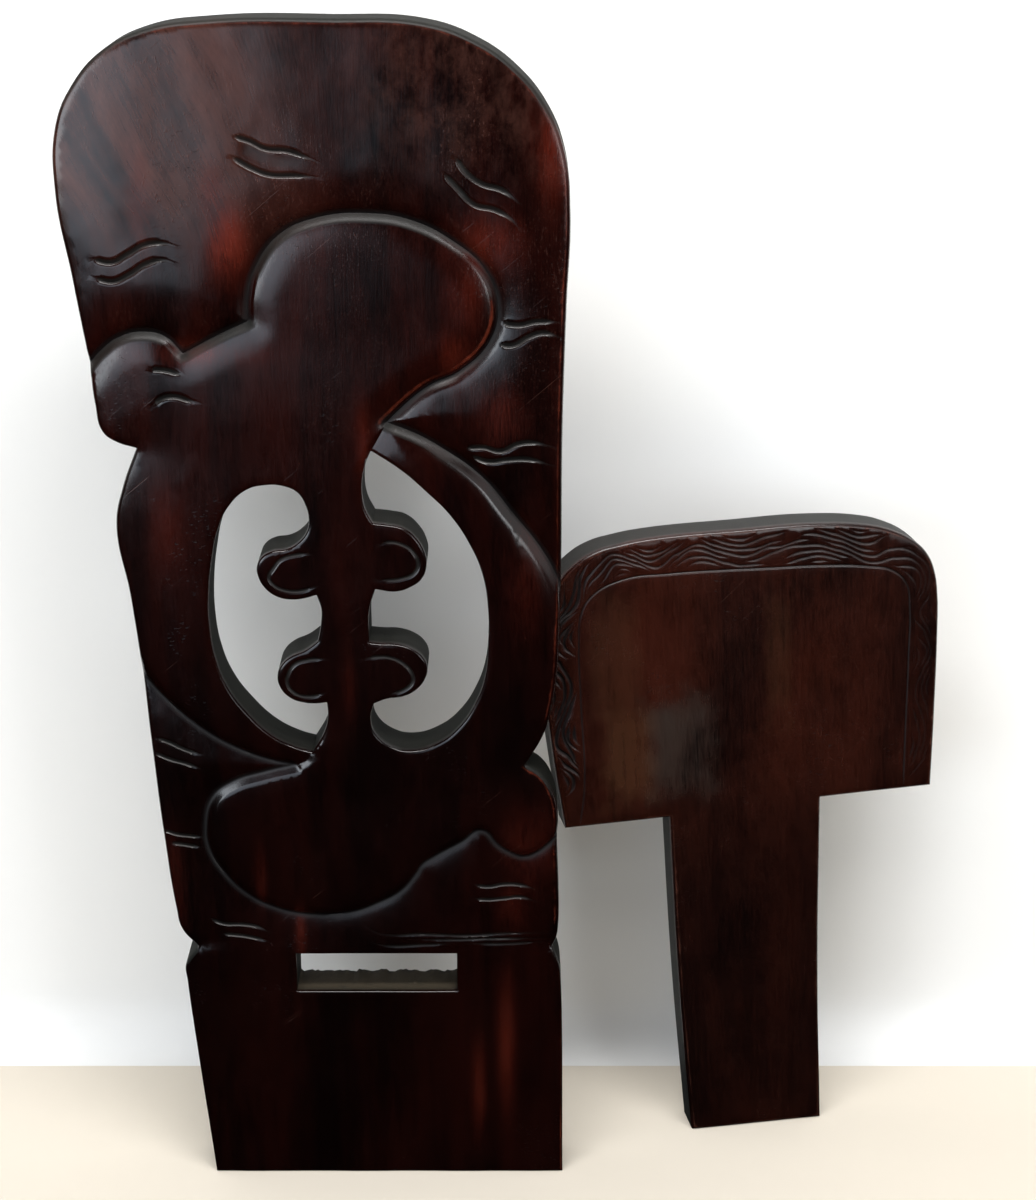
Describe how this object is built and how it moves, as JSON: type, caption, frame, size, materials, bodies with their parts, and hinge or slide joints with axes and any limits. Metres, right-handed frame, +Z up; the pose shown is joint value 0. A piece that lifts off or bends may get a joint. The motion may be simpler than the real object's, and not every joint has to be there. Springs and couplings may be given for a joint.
{
  "type": "slot-together plank chair",
  "caption": "Low plank chair taken apart: a tall carved openwork back board with a slot in its foot, and a T-shaped seat board whose tongue fits that slot.",
  "frame": {"origin": "centre of the back board's foot face, on the floor", "axes": "+Z up, +X to the right seen from the carved front, -Y out of the carved front face"},
  "size_m": [0.7213, 0.1382, 1.0006],
  "materials": {
    "carved_back_wood": "dark red-brown stained hardwood, polished to a satin sheen",
    "seat_wood": "dark brown stained hardwood, satin, worn on the sitting face"
  },
  "bodies": {
    "back_board": {"back_board": "carved_back_wood"},
    "seat_board": {"seat_board": "seat_wood"}
  },
  "joints": [
    {"name": "seat_lift_away", "type": "slide", "parent": "back_board", "child": "seat_board", "axis": [1, 0, 0], "range_m": [0, 0.25]}
  ]
}
